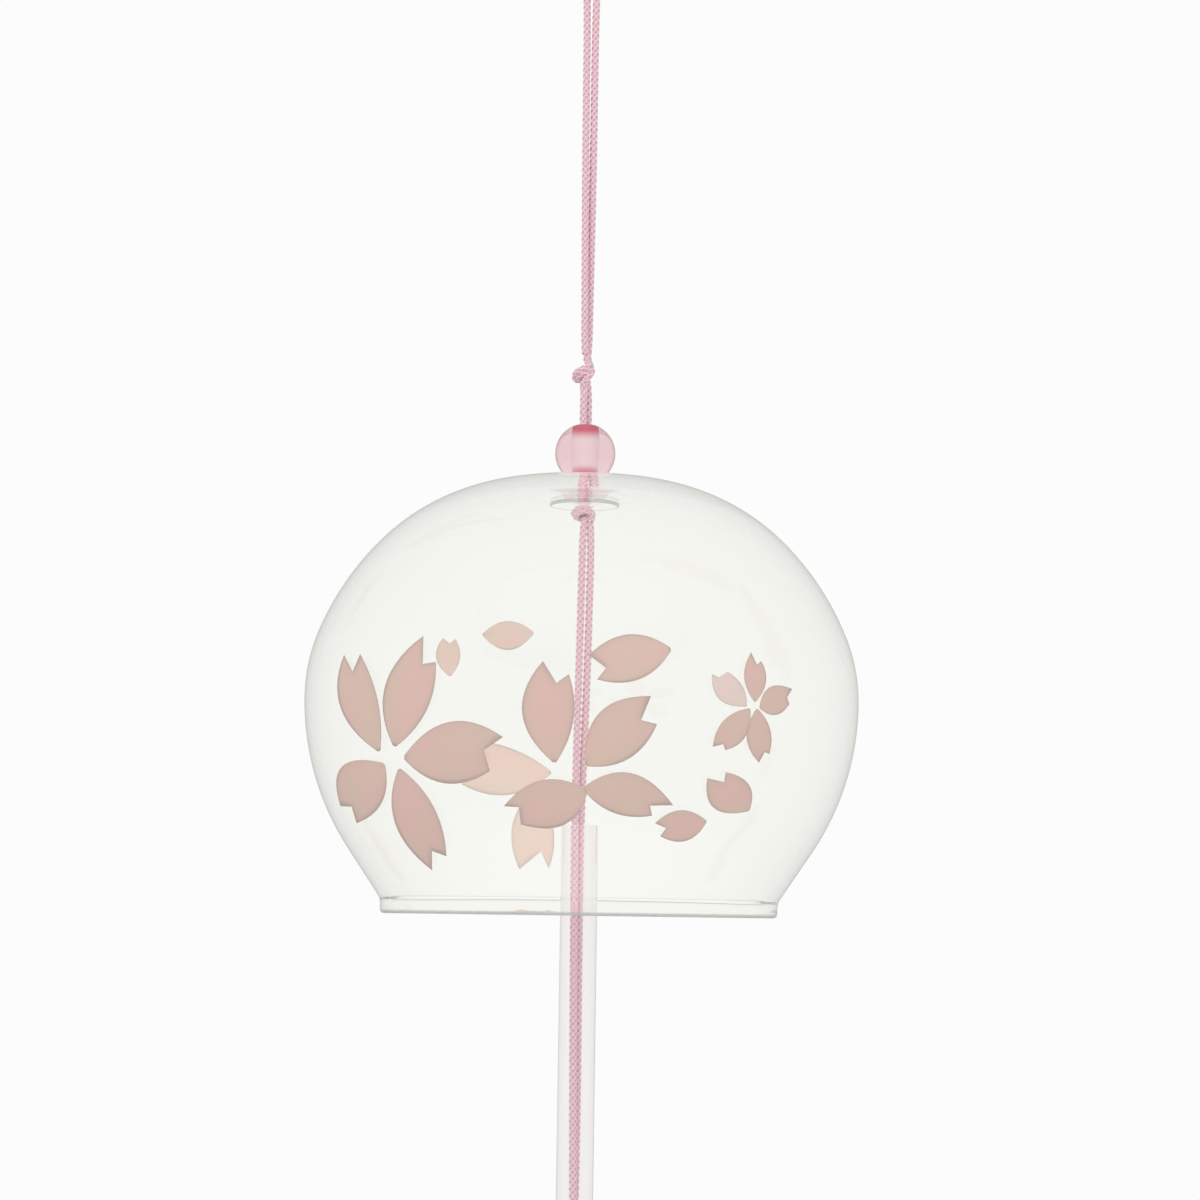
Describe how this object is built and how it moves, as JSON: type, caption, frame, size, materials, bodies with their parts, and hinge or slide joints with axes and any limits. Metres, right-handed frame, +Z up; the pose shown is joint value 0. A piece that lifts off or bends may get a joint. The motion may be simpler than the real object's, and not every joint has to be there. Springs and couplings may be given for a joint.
{
  "type": "furin wind bell",
  "caption": "Round clear glass wind bell with painted cherry petals, on a doubled pink cord with a bead, a hanging glass tube clapper and a paper strip.",
  "frame": {"origin": "the point where a hook bears, under the top of the hanging loop", "axes": "+Z up along the string, -Y towards the viewer of the picture and of the face of the paper strip"},
  "size_m": [0.08, 0.08, 0.3725],
  "materials": {
    "cord": "satin",
    "bead_glass": "gloss",
    "bell_glass": "gloss",
    "stopper": "gloss",
    "tube_glass": "gloss",
    "strip_paper": "matte",
    "petal_enamel": "satin"
  },
  "bodies": {
    "loop": {"hanging_loop": "cord"},
    "upper_knot": {"upper_knot": "cord"},
    "neck": {"neck_cord": "cord"},
    "bead": {"crown_bead": "bead_glass"},
    "bell": {"glass_bell": "bell_glass", "stopper_washer": "stopper"},
    "inner_knot": {"inner_knot": "cord"},
    "clapper_cord": {"clapper_cord": "cord"},
    "clapper_tube": {"clapper_tube": "tube_glass"},
    "tube_knot": {"tube_knot": "cord"},
    "strip_tie": {"strip_tie": "cord"},
    "tanzaku": {"tanzaku": "strip_paper"}
  },
  "joints": [
    {"name": "string_twist", "type": "hinge", "parent": "loop", "child": "upper_knot", "pos_m": [0, 0, -0.0658], "axis": [0, 0, 1], "continuous": true},
    {"name": "string_sway", "type": "hinge", "parent": "upper_knot", "child": "neck", "pos_m": [0, 0, -0.0684], "axis": [0, 1, 0], "range_deg": [-25, 25]},
    {"name": "bead_slide", "type": "slide", "parent": "neck", "child": "bead", "axis": [0, 0, 1], "range_m": [0, 0.0041]},
    {"name": "bell_spin", "type": "hinge", "parent": "neck", "child": "bell", "pos_m": [0, 0, -0.0846], "axis": [0, 0, 1], "continuous": true},
    {"name": "clapper_twist", "type": "hinge", "parent": "neck", "child": "inner_knot", "pos_m": [0, 0, -0.0862], "axis": [0, 0, 1], "continuous": true},
    {"name": "clapper_swing", "type": "hinge", "parent": "inner_knot", "child": "clapper_cord", "pos_m": [0, 0, -0.0875], "axis": [0, 1, 0], "range_deg": [-22.8, 22.8]},
    {"name": "tube_lift", "type": "slide", "parent": "clapper_cord", "child": "clapper_tube", "axis": [0, 0, 1], "range_m": [0, 0.0433]},
    {"name": "strip_twist", "type": "hinge", "parent": "clapper_cord", "child": "tube_knot", "pos_m": [0, 0, -0.23381], "axis": [0, 0, 1], "continuous": true},
    {"name": "strip_swing", "type": "hinge", "parent": "tube_knot", "child": "strip_tie", "pos_m": [0, 0, -0.23381], "axis": [1, 0, 0], "range_deg": [-60, 60]},
    {"name": "strip_tilt", "type": "hinge", "parent": "strip_tie", "child": "tanzaku", "pos_m": [0, 0, -0.24621], "axis": [0, 1, 0], "range_deg": [-30, 30]}
  ]
}
